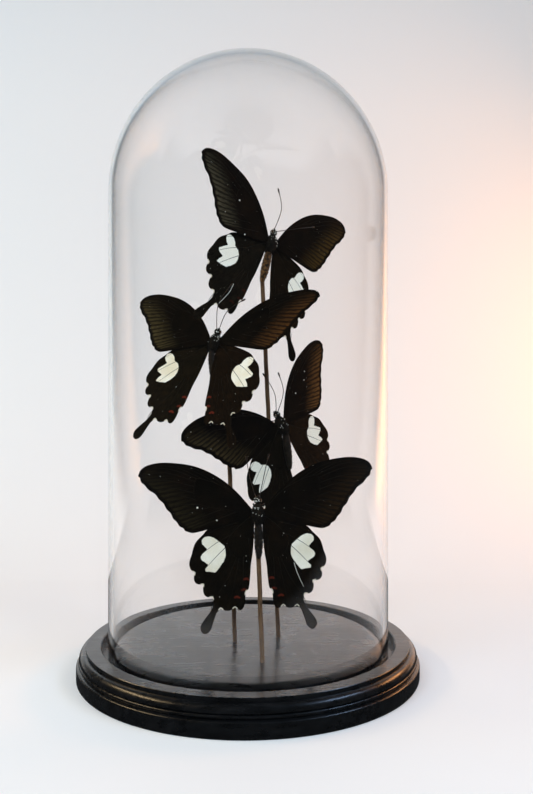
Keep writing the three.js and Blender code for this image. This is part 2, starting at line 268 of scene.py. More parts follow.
def wood_black():
    """Turned oak, stained black and lacquered: long open grain under a soft, deep shine."""
    material, tree, shader = start("black stained turned wood")
    place = add(tree, "ShaderNodeTexCoord").outputs["Object"]
    # Grain lines about 2 mm apart that run along the plank, from left to right.
    grain_scale = add(tree, "ShaderNodeMapping", [
        ("Vector", place), ("Rotation", (0, 0, math.radians(7))), ("Scale", (45, 500, 300)),
    ])
    grain = add(tree, "ShaderNodeTexNoise", [
        ("Vector", grain_scale.outputs[0]), ("Scale", 1.0), ("Detail", 5.0), ("Roughness", 0.62),
    ])
    cloud = add(tree, "ShaderNodeTexNoise", [
        ("Vector", place), ("Scale", 60.0), ("Detail", 3.0),
    ])
    colour = add(tree, "ShaderNodeValToRGB", [("Fac", grain.outputs["Fac"])])
    colour.color_ramp.elements[0].position = 0.34
    colour.color_ramp.elements[0].color = linear("#040506")
    colour.color_ramp.elements[1].position = 0.72
    colour.color_ramp.elements[1].color = linear("#121315")
    tree.links.new(colour.outputs[0], shader.inputs["Base Color"])
    mixed = add(tree, "ShaderNodeMath", [(0, grain.outputs["Fac"]), (1, cloud.outputs["Fac"])],
                operation="ADD")
    rough = add(tree, "ShaderNodeMapRange", [
        ("Value", mixed.outputs[0]), ("From Min", 0.7), ("From Max", 1.3), ("To Min", 0.22),
        ("To Max", 0.38),
    ])
    tree.links.new(rough.outputs[0], shader.inputs["Roughness"])
    bump = add(tree, "ShaderNodeBump", [
        ("Height", grain.outputs["Fac"]), ("Distance", 0.00009), ("Strength", 0.8),
    ])
    tree.links.new(bump.outputs[0], shader.inputs["Normal"])
    # The thin lacquer sinks into the open grain.
    tree.links.new(bump.outputs[0], shader.inputs["Coat Normal"])
    shader.inputs["Coat Weight"].default_value = 0.3
    shader.inputs["Coat Roughness"].default_value = 0.17
    return material


def wood_stick():
    """Split and rounded stick wood, stained brown: long fibres and a dull surface."""
    material, tree, shader = start("brown stick wood")
    place = add(tree, "ShaderNodeTexCoord").outputs["Object"]
    # Fibres 0.3 mm wide and about 20 mm long.
    fibre_scale = add(tree, "ShaderNodeMapping", [("Vector", place), ("Scale", (3200, 3200, 50))])
    fibre = add(tree, "ShaderNodeTexNoise", [
        ("Vector", fibre_scale.outputs[0]), ("Scale", 1.0), ("Detail", 3.0),
    ])
    colour = add(tree, "ShaderNodeValToRGB", [("Fac", fibre.outputs["Fac"])])
    colour.color_ramp.elements[0].position = 0.3
    colour.color_ramp.elements[0].color = linear("#352619")
    colour.color_ramp.elements[1].position = 0.72
    colour.color_ramp.elements[1].color = linear("#75593f")
    tree.links.new(colour.outputs[0], shader.inputs["Base Color"])
    bump = add(tree, "ShaderNodeBump", [
        ("Height", fibre.outputs["Fac"]), ("Distance", 0.0001), ("Strength", 0.6),
    ])
    tree.links.new(bump.outputs[0], shader.inputs["Normal"])
    shader.inputs["Roughness"].default_value = 0.62
    return material


def ramp(tree, value, low, high, from_value=0.0, to_value=1.0):
    """A smooth step between two values of another socket."""
    node = add(tree, "ShaderNodeMapRange", [
        ("Value", value), ("From Min", low), ("From Max", high), ("To Min", from_value),
        ("To Max", to_value),
    ], interpolation_type="SMOOTHSTEP")
    return node.outputs[0]


def times(tree, one, two):
    """The product of two values."""
    return add(tree, "ShaderNodeMath", [(0, one), (1, two)], operation="MULTIPLY").outputs[0]


def blended(tree, amount, one, two):
    """Colour one where amount is 0, colour two where it is 1."""
    node = add(tree, "ShaderNodeMix", data_type="RGBA")
    for socket, value in ((node.inputs[0], amount), (node.inputs[6], one), (node.inputs[7], two)):
        if isinstance(value, bpy.types.NodeSocket):
            tree.links.new(value, socket)
        else:
            socket.default_value = value
    return node.outputs[2]


def field(tree, name):
    """A value that the mesh carries on its points."""
    return add(tree, "ShaderNodeAttribute", attribute_name=name).outputs["Fac"]


def wing_scales(name, butterfly, side, hind):
    """A swallowtail's wing: velvety black scales, which lie less close in the fine streaks of the outer
    forewing, so that they look brown or olive there;
    each side's streak colour also holds painted backlight, light shining through the wing."""
    material, tree, shader = start(name)
    place = add(tree, "ShaderNodeTexCoord").outputs["Object"]
    fan = add(tree, "ShaderNodeUVMap", uv_map="fan").outputs[0]
    # Single scales are 0.1 mm, too fine to show: these specks are drawn 0.35 mm wide.
    specks = add(tree, "ShaderNodeTexNoise", [("Vector", place), ("Scale", 2800.0), ("Detail", 2.0)])
    cloud = add(tree, "ShaderNodeTexNoise", [("Vector", place), ("Scale", 110.0), ("Detail", 3.0)])
    # Long soft brush marks that run outward with the veins.
    brush_scale = add(tree, "ShaderNodeMapping", [("Vector", fan), ("Scale", (9, 3, 1))])
    brush = add(tree, "ShaderNodeTexNoise", [
        ("Vector", brush_scale.outputs[0]), ("Scale", 1.0), ("Detail", 3.0), ("Roughness", 0.6),
    ])
    worn = ramp(tree, brush.outputs["Fac"], 0.3, 0.7)
    clouded = ramp(tree, cloud.outputs["Fac"], 0.3, 0.75)
    dark = blended(tree, times(tree, worn, clouded), linear("#040301"), linear("#150d05"))
    # Painted backlight: each side has its own streak colour, lighter where light shines through the wing.
    pale = linear(butterfly["streaks"][0 if side == "left" else 1])
    edge = field(tree, "edge")
    if hind:
        colour = blended(tree, times(tree, worn, 0.1), dark, pale)
    else:
        ray = add(tree, "ShaderNodeSeparateXYZ", [("Vector", fan)]).outputs["X"]
        twice = times(tree, ray, 2.0)
        bend = add(tree, "ShaderNodeMath", [(0, twice), (1, 0.5)], operation="PINGPONG").outputs[0]
        uneven = ramp(tree, brush.outputs["Fac"], 0.2, 0.8, -0.14, 0.14)
        bend = add(tree, "ShaderNodeMath", [(0, bend), (1, uneven)], operation="ADD").outputs[0]
        streak = ramp(tree, bend, 0.06, 0.36)
        # The streaks grow weak towards the tip of the wing.
        zone = times(tree, field(tree, "outer"), ramp(tree, ray, 0.2, 3.2, 0.3, 1.0))
        zone = times(tree, zone, ramp(tree, edge, 1.2, 2.6))
        colour = blended(tree, times(tree, zone, 0.16), dark, pale)
        fading = ramp(tree, brush.outputs["Fac"], 0.3, 0.6, 0.35, 1.0)
        amount = times(tree, times(tree, streak, zone), fading)
        colour = blended(tree, amount, colour, pale)
    if hind:
        ragged = add(tree, "ShaderNodeMapRange", [
            ("Value", specks.outputs["Fac"]), ("To Min", -0.3), ("To Max", 0.3),
        ]).outputs[0]
        within = add(tree, "ShaderNodeMath", [(0, field(tree, "white")), (1, ragged)],
                     operation="ADD").outputs[0]
        tint = blended(tree, clouded, linear(butterfly["patch"]), linear("#f7f2e2"))
        colour = blended(tree, ramp(tree, within, -0.1, 0.1), colour, tint)
        red = times(tree, ramp(tree, field(tree, "red"), 0.8, 0.3), butterfly["red"])
        colour = blended(tree, red, colour, linear("#702a1c"))
        fringe = times(tree, ramp(tree, field(tree, "notch"), 1.7, 1.1), ramp(tree, edge, 0.6, 0.35))
        colour = blended(tree, fringe, colour, linear("#cfc6b2"))
    tree.links.new(colour, shader.inputs["Base Color"])
    tree.links.new(ramp(tree, specks.outputs["Fac"], 0.3, 0.7, 0.62, 0.8), shader.inputs["Roughness"])
    bump = add(tree, "ShaderNodeBump", [
        ("Height", specks.outputs["Fac"]), ("Distance", 0.00003), ("Strength", 0.4),
    ])
    tree.links.new(bump.outputs[0], shader.inputs["Normal"])
    # Velvet scales trap light, so they hardly shine.
    shader.inputs["Specular IOR Level"].default_value = 0.03
    return material


def shell(name, dark, light, roughness, size, shine=0.5):
    """Dry insect shell or hair: dark, with lighter clouds of the given size in millimetres."""
    material, tree, shader = start(name)
    place = add(tree, "ShaderNodeTexCoord").outputs["Object"]
    cloud = add(tree, "ShaderNodeTexNoise", [
        ("Vector", place), ("Scale", 1 / (size * MM)), ("Detail", 3.0),
    ])
    colour = blended(tree, ramp(tree, cloud.outputs["Fac"], 0.35, 0.7), linear(dark), linear(light))
    tree.links.new(colour, shader.inputs["Base Color"])
    rough = ramp(tree, cloud.outputs["Fac"], 0.3, 0.7, roughness - 0.06, roughness + 0.06)
    tree.links.new(rough, shader.inputs["Roughness"])
    shader.inputs["Specular IOR Level"].default_value = shine
    return material


BLACK_WOOD = wood_black()
STICK_WOOD = wood_stick()
CLEAR_GLASS = glass_blown()
VEIN = shell("dry wing vein", "#0a0805", "#19120a", 0.6, 3, 0.06)
HAIR = shell("black body hair", "#0a0806", "#1f1a13", 0.7, 1.5, 0.15)
LIMB = shell("dry limb shell", "#120d0a", "#2e2016", 0.42, 1, 0.3)
EYE = shell("dried compound eye", "#1d1611", "#4b3a2a", 0.16, 0.4)
SCALE_DOT = shell("white scale tuft", "#d9d8cc", "#f3f2e9", 0.7, 0.5)


# ---------- mesh helpers ----------
def finish(bm, name, materials, node):
    """Turns a bmesh in millimetres into a finished piece that stands for a node of the frame."""
    bmesh.ops.scale(bm, vec=(MM, MM, MM), verts=bm.verts)
    mesh = bpy.data.meshes.new(name)
    bm.to_mesh(mesh)
    bm.free()
    for material in materials:
        mesh.materials.append(material)
    piece = bpy.data.objects.new(name, mesh)
    bpy.context.scene.collection.objects.link(piece)
    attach(piece, "root")
    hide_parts(node)
    return piece


def soften(bm, angle=40):
    """Smooth shading, with edges sharper than the angle left crisp."""
    limit = math.radians(angle)
    for face in bm.faces:
        face.smooth = True
    for edge in bm.edges:
        if len(edge.link_faces) == 2 and edge.calc_face_angle(0) > limit:
            edge.smooth = False


def curve(points, steps):
    """A smooth curve through points, with steps between each two."""
    spots = [Vector(p).to_3d() for p in points]
    last = len(spots) - 1
    line = []
    for i in range(last):
        before, here, there, after = (spots[min(max(k, 0), last)] for k in range(i - 1, i + 3))
        for step in range(steps):
            t = step / steps
            line.append(
                here
                + 0.5 * t * (there - before)
                + t * t * (before - 2.5 * here + 2 * there - 0.5 * after)
                + t ** 3 * (1.5 * (here - there) + 0.5 * (after - before))
            )
    return line + [spots[-1]]


def arc(centre, radius, start_angle, end_angle, steps):
    """Points of an arc in a profile, angles in degrees."""
    turn = [math.radians(start_angle + (end_angle - start_angle) * k / steps) for k in range(steps + 1)]
    return [(centre[0] + radius * math.cos(a), centre[1] + radius * math.sin(a)) for a in turn]


def spun(profile, axis, steps):
    """A closed solid turned from a profile of (radius, height) points that ends on the axis."""
    bm = bmesh.new()
    along = Vector(axis)
    out = Vector((1, 0, 0))
    verts = [bm.verts.new(out * r + along * h) for r, h in profile]
    edges = [bm.edges.new(pair) for pair in zip(verts, verts[1:])]
    bmesh.ops.spin(bm, geom=verts + edges, cent=(0, 0, 0), axis=along, dvec=(0, 0, 0),
                   angle=2 * math.pi, steps=steps, use_merge=True, use_duplicate=False)
    bmesh.ops.remove_doubles(bm, verts=bm.verts, dist=1e-4)
    bmesh.ops.recalc_face_normals(bm, faces=bm.faces)
    return bm


def add_part(bm, other, index):
    """Moves all of another bmesh into this one, with a material."""
    for face in other.faces:
        face.material_index = index
        face.smooth = True
    mesh = bpy.data.meshes.new("part")
    other.to_mesh(mesh)
    other.free()
    bm.from_mesh(mesh)
    bpy.data.meshes.remove(mesh)


def tube(bm, line, radii, sides, index=0):
    """Adds a round tube along points, with a radius at each, closed at both ends."""
    part = bmesh.new()
    direction = (line[1] - line[0]).normalized()
    turn = direction.to_track_quat("Z", "Y").to_matrix().to_4x4()
    bmesh.ops.create_circle(part, cap_ends=True, segments=sides, radius=radii[0],
                            matrix=Matrix.Translation(line[0]) @ turn)
    edges = part.edges[:]
    for here, there, old, new in zip(line, line[1:], radii, radii[1:]):
        made = bmesh.ops.extrude_edge_only(part, edges=edges)["geom"]
        ring = [g for g in made if isinstance(g, bmesh.types.BMVert)]
        edges = [g for g in made if isinstance(g, bmesh.types.BMEdge)]
        step = (there - here).normalized()
        bend = direction.rotation_difference(step).to_matrix().to_4x4()
        direction = step
        size = Matrix.Diagonal((new / old,) * 3).to_4x4()
        place = Matrix.Translation(there) @ bend @ size @ Matrix.Translation(-here)
        bmesh.ops.transform(part, matrix=place, verts=ring)
    bmesh.ops.contextual_create(part, geom=edges)
    bmesh.ops.recalc_face_normals(part, faces=part.faces)
    add_part(bm, part, index)


def taper(count, first, last):
    """Radii that change evenly along a tube."""
    return [first + (last - first) * k / (count - 1) for k in range(count)]


# ---------- base, glass and sticks ----------
def make_base():
    """The turned base, worked out as one profile from the middle of its underside to that of its disc."""
    # The upright foot with its rounded edges.
    profile = [(0, 0), (BASE_RADIUS - 1.2, 0)]
    profile += arc((BASE_RADIUS - 1, 1), 1, -80, 0, 5)
    profile += arc((BASE_RADIUS - 1.1, FOOT_HEIGHT - 1.1), 1.1, 0, 75, 6)
    # A fine groove, a small round moulding and a second fine groove.
    profile += [(BASE_RADIUS - 1.8, 8.1), (BASE_RADIUS - 2.1, 8.35)]
    profile += arc((BASE_RADIUS - 2.1, 9.3), 0.9, -80, 80, 8)
    profile += [(BASE_RADIUS - 2.4, 10.35), (BASE_RADIUS - 1.9, 10.5)]
    # A bead, and above it a short upright step to the flat ring.
    profile += [(BEAD[0] + BEAD_WIDTH * math.cos(a), BEAD[1] + BEAD_HEIGHT * math.sin(a))
                for a in (math.radians(6 * k) for k in range(16))]
    profile += [(RING_RADIUS + 0.3, BEAD[1] + BEAD_HEIGHT), (RING_RADIUS + 0.2, BASE_HEIGHT - 0.2)]
    profile += [(RING_RADIUS, BASE_HEIGHT)]
    profile += [(GROOVE_OUTER + 0.6, BASE_HEIGHT), (GROOVE_OUTER + 0.1, BASE_HEIGHT - 0.5)]
    profile += [(GROOVE_OUTER, GROOVE_FLOOR), (GROOVE_INNER, GROOVE_FLOOR)]
    # The disc's rounded edge.
    profile += [(GROOVE_INNER, BASE_HEIGHT - 2.4), (GROOVE_INNER - 0.3, BASE_HEIGHT - 1.6)]
    profile += [(DISC_FLAT + 1.4, BASE_HEIGHT - 0.5), (DISC_FLAT, BASE_HEIGHT - 0.1)]
    profile += [(DISC_FLAT - 1.2, BASE_HEIGHT), (0, BASE_HEIGHT)]
    bm = spun(profile, (0, 0, 1), 160)
    soften(bm, 32)
    finish(bm, "wooden_base_turned", [BLACK_WOOD], "wooden_base")


def make_dome():
    """The cloche: inner wall, rounded lip and outer wall in one turned profile."""
    inner = GLASS_RADIUS - GLASS_WALL
    lip = GLASS_WALL / 2
    # Extra rings keep the wall's shading upright, so that it doesn't bend what stands behind it.
    low = GLASS_FOOT + lip
    heights = [low + 0.3, low + 1.5, *GLASS_RINGS, GLASS_SPRING - 4, GLASS_SPRING - 1]
    profile = arc((0, GLASS_SPRING), inner, 90, 0, 60)
    profile[0] = (0, GLASS_SPRING + inner)
    profile += [(inner, z) for z in reversed(heights)]
    profile += arc((GLASS_RADIUS - lip, low), lip, 180, 360, 10)
    profile += [(GLASS_RADIUS, z) for z in heights]
    profile += arc((0, GLASS_SPRING), GLASS_RADIUS, 0, 90, 60)
    profile[-1] = (0, GLASS_SPRING + GLASS_RADIUS)
    bm = spun(profile, (0, 0, 1), 180)
    soften(bm, 60)
    dome = finish(bm, "glass_dome_blown", [CLEAR_GLASS], "glass_dome")
    # Thin clear glass throws next to no shadow, and shadow rays don't bend through it.
    dome.visible_shadow = False
    return dome


def make_stick(name, foot, top):
    """A thin stick, slightly uneven as split wood is."""
    rng = random.Random(name)
    bm = bmesh.new()
    low, high = Vector(foot), Vector(top)
    count = round((high - low).length / STICK_PIECE)
    line, radii = [], []
    for k in range(count + 1):
        at = low.lerp(high, k / count)
        sway = STICK_SWAY * math.sin(math.pi * k / count)
        line.append(at + Vector((rng.uniform(-sway, sway), rng.uniform(-sway, sway), 0)))
        radii.append(STICK_RADIUS * rng.uniform(0.93, 1.0))
    tube(bm, line, radii, 14)
    soften(bm, 50)
    finish(bm, f"stick_{name}_wood", [STICK_WOOD], f"stick_{name}")


# ---------- wings ----------
def scalloped(points):
    """The forewing's outer edge, drawn in a little between each two veins."""
    edge = curve(points, 12)
    last = len(edge) - 1
    picked = []
    for i in range(1, last):
        along = (edge[i + 1] - edge[i - 1]).normalized()
        dip = 0.5 - 0.5 * math.cos(2 * math.pi * SCALLOPS * i / last)
        picked.append(edge[i] + Vector((along.y, -along.x, 0)) * SCALLOP_DEPTH * dip)
    return picked


def lobes(table, end, steps=8):
    """Rounded lobes, each from its notch to the next one's, without the end of the last."""
    line = []
    for k, (notch, pull) in enumerate(table):
        following = table[k + 1][0] if k + 1 < len(table) else end
        a, b, c = (Vector(p).to_3d() for p in (notch, pull, following))
        line += [a.lerp(b, t / steps).lerp(b.lerp(c, t / steps), t / steps) for t in range(steps)]
    return line


def forewing_outline():
    """The forewing's outline, once round from the root."""
    back = curve([FOREWING_MARGIN[-1], *FOREWING_BACK], 8)
    return curve(FOREWING_FRONT, 8) + scalloped(FOREWING_MARGIN) + back


def hindwing_outline():
    """The hindwing's outline with its lobes and tail, once round from the root."""
    return [
        *curve(HINDWING_FRONT, 8)[:-1],
        *lobes(HINDWING_LOBES, TAIL_EDGE[0]),
        *curve(TAIL_EDGE, 5),
        *lobes(INNER_LOBES, HINDWING_INNER[0]),
        *curve(HINDWING_INNER, 5),
    ]


def distance(point, line):
    """How far a point is from a line of points."""
    best = 1e9
    for a, b in zip(line, line[1:]):
        near, share = intersect_point_line(point, a, b)
        near = a if share < 0 else b if share > 1 else near
        best = min(best, (point - near).length)
    return best


def inside(point, ring):
    """Whether a point lies inside a closed outline."""
    hit = False
    for a, b in zip(ring, ring[1:] + ring[:1]):
        if (a.y > point.y) != (b.y > point.y):
            if point.x < a.x + (b.x - a.x) * (point.y - a.y) / (b.y - a.y):
                hit = not hit
    return hit


def ray_number(point, hub, rays):
    """Where a point lies in a fan of rays: 0 on the first, 1 on the second and so on."""
    angle = math.atan2(point.y - hub.y, point.x - hub.x)
    turns = [math.atan2(end[1] - hub.y, end[0] - hub.x) for end in rays]
    for k in range(len(turns) - 1):
        if angle >= turns[k + 1] or k == len(turns) - 2:
            return k + max(-2.0, min(3.0, (turns[k] - angle) / (turns[k] - turns[k + 1])))


def wing_sheet(outline, hub, rays, patch=None):
    """A flat sheet with a fine grid and the fields that its markings need."""
    bm = bmesh.new()
    bm.faces.new([bm.verts.new(p) for p in outline])
    bmesh.ops.remove_doubles(bm, verts=bm.verts, dist=0.05)
    for axis in (0, 1):
        normal = Vector((1 - axis, axis, 0))
        spread = [p[axis] for p in outline]
        for k in range(math.ceil(min(spread) / SHEET_GRID), math.floor(max(spread) / SHEET_GRID) + 1):
            geometry = bm.verts[:] + bm.edges[:] + bm.faces[:]
            bmesh.ops.bisect_plane(bm, geom=geometry, dist=1e-4, plane_no=normal,
                                   plane_co=normal * (k * SHEET_GRID + 0.03))
    bmesh.ops.triangulate(bm, faces=bm.faces)
    bmesh.ops.recalc_face_normals(bm, faces=bm.faces)
    if bm.faces[:][0].normal.z < 0:
        bmesh.ops.reverse_faces(bm, faces=bm.faces)
    closed = outline + outline[:1]
    patch_ring = [Vector(p).to_3d() for p in patch or []]
    bars = [curve(bar, 3) for bar in RED_BARS]
    notches = [Vector(p).to_3d() for p, _ in HINDWING_LOBES[1:] + INNER_LOBES]
    notches += [Vector(TAIL_EDGE[0]).to_3d(), Vector(HINDWING_INNER[1]).to_3d()]
    low, high = (Vector(p).to_3d() for p in STREAK_LINE)
    outward = (high - low).cross(Vector((0, 0, 1))).normalized()
    names = ["edge"] + (["white", "red", "notch"] if patch else ["outer"])
    layers = {name: bm.verts.layers.float.new(name) for name in names}
    fan = bm.loops.layers.uv.new("fan")
    for vert in bm.verts:
        spot = vert.co.copy()
        vert[layers["edge"]] = distance(spot, closed)
        if patch:
            sign = 1 if inside(spot, patch_ring) else -1
            vert[layers["white"]] = sign * distance(spot, patch_ring + patch_ring[:1])
            vert[layers["red"]] = min(distance(spot, bar) for bar in bars)
            vert[layers["notch"]] = min((spot - notch).length for notch in notches)
        else:
            beyond = (spot - low).dot(outward)
            vert[layers["outer"]] = max(0.0, min(1.0, (beyond + 4) / 11))
    for face in bm.faces:
        for loop in face.loops:
            spot = loop.vert.co
            loop[fan].uv = (ray_number(spot, hub, rays), (spot - hub).length / 10)
    return bm


def bent(spot, seed):
    """Where a point of the flat wing lies on the bent and slightly wavy one."""
    reach = (spot.x * spot.x + spot.y * spot.y) / (SAG_REACH * SAG_REACH)
    wave = noise.noise(Vector((spot.x / WAVE_LENGTH, spot.y / WAVE_LENGTH, seed)))
    return Vector((spot.x, spot.y, spot.z - WING_SAG * reach + WAVE_HEIGHT * wave * min(1, reach * 2)))


def rotation(degrees, axis):
    """A turn about one of the main axes."""
    return Matrix.Rotation(math.radians(degrees), 4, axis)


def body_place(butterfly):
    """The turn and shift from the body's own frame, x right, y forward, z up, to the object's."""
    turn = rotation(butterfly["lean"], "Y") @ rotation(butterfly["nod"], "X")
    turn = turn @ rotation(-butterfly["roll"], "Z") @ rotation(90, "X")
    return Matrix.Translation(butterfly["place"]) @ turn


def wing_place(butterfly, side, hind):
    """The place of a wing: its own turn at the root, mirrored on the left, then the body's turn."""
    index = 0 if side == "left" else 1
    lift = butterfly["lift"][index] - (butterfly["drop"][index] if hind else 0)
    sweep = butterfly["hind_sweep" if hind else "fore_sweep"][index]
    size = butterfly["size"]
    turn = rotation(-lift, "Y") @ rotation(butterfly["twist"][index], "X") @ rotation(sweep, "Z")
    place = Matrix.Translation((WING_ROOT * size, 0, 0)) @ turn @ Matrix.Diagonal((size, size, 1, 1))
    mirror = Matrix.Diagonal((-1 if side == "left" else 1, 1, 1, 1))
    return body_place(butterfly) @ mirror @ place


def make_wing(name, butterfly, side, hind, sheet, outline, lines, material):
    """A wing: the flat sheet gets its thickness and bend, then its veins, splits and dust."""
    bm = sheet.copy()
    height = -WING_STEP if hind else WING_STEP
    seed = butterfly["seed"] + (0 if side == "left" else 20)
    node = f"{name}_butterfly_{side}_{'hindwing' if hind else 'forewing'}"
    rng = random.Random(node)
    bmesh.ops.solidify(bm, geom=bm.faces[:], thickness=WING_THICKNESS)
    for vert in bm.verts:
        vert.co.z += height
        vert.co = bent(vert.co, seed)
    soften(bm, 50)
    for line in lines:
        raised = [bent(p + Vector((0, 0, height - WING_THICKNESS / 2)), seed) for p in line]
        tube(bm, raised, taper(len(raised), *VEIN_RADII), 5, 1)
    if node in SPLITS:
        split = [bent(p + Vector((0, 0, height)), seed) for p in curve(SPLITS[node], 5)]
        tube(bm, split, taper(len(split), *SPLIT_RADII), 5, 2)
    crumbs = CRUMBS.get(node, [])[:]
    while len(crumbs) < DUST_ON_WING:
        spot = Vector((rng.uniform(1, 57), rng.uniform(-60, 23), 0))
        if inside(spot, outline):
            crumbs.append((spot.x, spot.y, 0.07 + 0.15 * rng.random() ** 3))
    for x, y, size in crumbs:
        ball(bm, bent(Vector((x, y, height)), seed), size, (1, 1, 0.6), 1, 2)
    place = wing_place(butterfly, side, hind)
    bmesh.ops.transform(bm, matrix=place, verts=bm.verts)
    if side == "left":
        bmesh.ops.reverse_faces(bm, faces=bm.faces)
    finish(bm, f"{node}_scales", [material, VEIN, SCALE_DOT], node)


# ---------- bodies ----------
def radius_at(outline, y):
    """A body outline's radius at a place along it."""
    for (y0, r0), (y1, r1) in zip(outline, outline[1:]):
        if y0 <= y <= y1:
            return r0 + (r1 - r0) * (y - y0) / (y1 - y0)
    return 0.0


def droop(butterfly, spot):
    """Bends what lies behind the waist down and to the right."""
    behind = max(0.0, WAIST - spot.y)
    side = behind * math.tan(math.radians(butterfly["swing"]))
    down = behind * math.tan(math.radians(butterfly["droop"]))
    return Vector((spot.x + side, spot.y, spot.z - down))


def rings(outline, count):
    """An abdomen's outline with a shallow groove between each two of its rings."""
    first, last = outline[0][0], outline[-1][0]
    profile = []
    steps = 6 * count
    for k in range(steps + 1):
        y = first + (last - first) * k / steps
        groove = abs(math.sin(math.pi * k / 6)) ** 0.5
        profile.append((radius_at(outline, y) * (0.9 + 0.1 * groove), y))
    profile[0] = (0, first)
    profile[-1] = (0, last)
    return profile


def ball(bm, place, radius, stretch, detail, index):
    """Adds a small round piece."""
    first = len(bm.faces)
    matrix = Matrix.Translation(place) @ Matrix.Diagonal((*stretch, 1))
    bmesh.ops.create_icosphere(bm, subdivisions=detail, radius=radius, matrix=matrix)
    bm.faces.ensure_lookup_table()
    for face in bm.faces[first:]:
        face.material_index = index
        face.smooth = True


def grow_hair(bm, rng, butterfly, outline, count, length, spread):
    """Fine hairs that lie back along the body. spread is the thickness at the root."""
    low, high = outline[0][0], outline[-1][0]
    tuft = bmesh.new()
    for k in range(count):
        y = rng.uniform(low + 0.3, high - 0.3)
        angle = rng.uniform(0, 2 * math.pi)
        r = radius_at(outline, y)
        out = Vector((math.cos(angle), 0, math.sin(angle)))
        root = droop(butterfly, Vector((out.x * r, y, out.z * r * BODY_DEPTH)))
        lean = Vector((rng.uniform(-0.3, 0.3), -rng.uniform(0.6, 1.5), rng.uniform(-0.3, 0.3)))
        way = (out + lean).normalized()
        long = length * rng.uniform(0.6, 1.3)
        turn = way.to_track_quat("Z", "Y").to_matrix().to_4x4()
        bmesh.ops.create_cone(tuft, cap_ends=True, segments=3, radius1=spread, radius2=0.0,
                              depth=long, matrix=Matrix.Translation(root + way * long * 0.42) @ turn)
        if k % HAIRS_IN_TUFT == HAIRS_IN_TUFT - 1 or k == count - 1:
            add_part(bm, tuft, 0)
            tuft = bmesh.new()
    tuft.free()


def make_body(name, butterfly, abdomen_shell):
    """Abdomen, chest and head with hair, eyes, palps, legs, feelers, tongue and white tufts."""
    rng = random.Random(butterfly["seed"])
    bm = bmesh.new()
    for outline, index in ((rings(ABDOMEN, ABDOMEN_RINGS), 1), ([(r, y) for y, r in CHEST], 0),
                           ([(r, y) for y, r in HEAD], 0)):
        part = spun(outline, (0, 1, 0), 24)
        bmesh.ops.scale(part, vec=(1, 1, BODY_DEPTH), verts=part.verts)
        for vert in part.verts:
            vert.co = droop(butterfly, vert.co)
        add_part(bm, part, index)
    for coat in HAIR_COATS:
        grow_hair(bm, rng, butterfly, *coat)
    for side in (-1, 1):
        mirrored = Matrix.Diagonal((side, 1, 1))
        ball(bm, mirrored @ Vector(EYE_PLACE), EYE_RADIUS, (0.8, 1, 1.05), 3, 3)
        # Palps under the face.
        palp = curve([mirrored @ Vector(p) for p in PALP], 3)
        tube(bm, palp, taper(len(palp), 0.34, 0.12), 8, 0)
        for row in LEG_ROWS:
            joints = [mirrored @ Vector((x, row + y, z)) for x, y, z in LEG_JOINTS]
            line = curve(joints, 4)
            tube(bm, line, taper(len(line), 0.3, 0.13), 7, 2)
        tip = Vector(butterfly["feelers"][0 if side < 0 else 1])
        begin = mirrored @ Vector(FEELER_ROOT)
        middle = Vector((0.45 * tip.x + side * FEELER_BOW[0], 0.5 * (begin.y + tip.y),
                         0.5 * tip.z + FEELER_BOW[1]))
        line = curve([begin, middle, tip], 9)
        radii = taper(len(line), 0.2, 0.17)
        radii[-4:] = FEELER_CLUB
        tube(bm, line, radii, 8, 2)
    # The coiled tongue winds inward, a third of a radian at a step.
    coil = []
    for k in range(TONGUE_STEPS):
        reach = (1 - k / TONGUE_CLOSES) * TONGUE_REACH
        coil.append(Vector(TONGUE_COIL) + Vector((0, reach * math.cos(k / 3), reach * math.sin(k / 3))))
    tube(bm, coil, taper(len(coil), 0.2, 0.1), 6, 2)
    for _ in range(WHITE_TUFTS):
        outline = rng.choice((CHEST, HEAD))
        y = rng.uniform(-3, 2.4) if outline is CHEST else rng.uniform(3.6, 6)
        angle = math.radians(rng.uniform(10, 170))
        r = radius_at(outline, y) + 0.35
        ball(bm, (r * math.cos(angle), y, r * math.sin(angle) * BODY_DEPTH), rng.uniform(0.16, 0.28),
             (1, 1, 0.7), 1, 4)
    bmesh.ops.transform(bm, matrix=body_place(butterfly), verts=bm.verts)
    node = f"{name}_butterfly_body"
    finish(bm, f"{node}_furry", [HAIR, abdomen_shell, LIMB, EYE, SCALE_DOT], node)


def make_butterflies():
    """Four bodies with four wings each. The sheets of equal wings are worked out once."""
    fore_edge, hind_edge = forewing_outline(), hindwing_outline()
    fore = wing_sheet(fore_edge, FORE_HUB, FORE_RAYS)
    whole = wing_sheet(hind_edge, HIND_HUB, HIND_RAYS, PATCH)
    fingered = wing_sheet(hind_edge, HIND_HUB, HIND_RAYS, FINGER_PATCH)
    fore_lines = [curve(vein, 5) for vein in FORE_VEINS + [FORE_CELL]]
    hind_lines = [curve(vein, 5) for vein in HIND_VEINS + [HIND_CELL]]
    for name, butterfly in BUTTERFLIES.items():
        abdomen = shell(f"{name} abdomen shell", "#14110d", butterfly["abdomen"], 0.5, 1.2, 0.25)
        make_body(name, butterfly, abdomen)
        hind = fingered if butterfly["finger"] else whole
        for side in ("left", "right"):
            scales = wing_scales(f"{name} {side} forewing scales", butterfly, side, False)
            make_wing(name, butterfly, side, False, fore, fore_edge, fore_lines, scales)
            scales = wing_scales(f"{name} {side} hindwing scales", butterfly, side, True)
            make_wing(name, butterfly, side, True, hind, hind_edge, hind_lines, scales)
    for sheet in (fore, whole, fingered):
        sheet.free()


make_base()
dome = make_dome()
for stick_name, stick in STICKS.items():
    make_stick(stick_name, **stick)
make_butterflies()


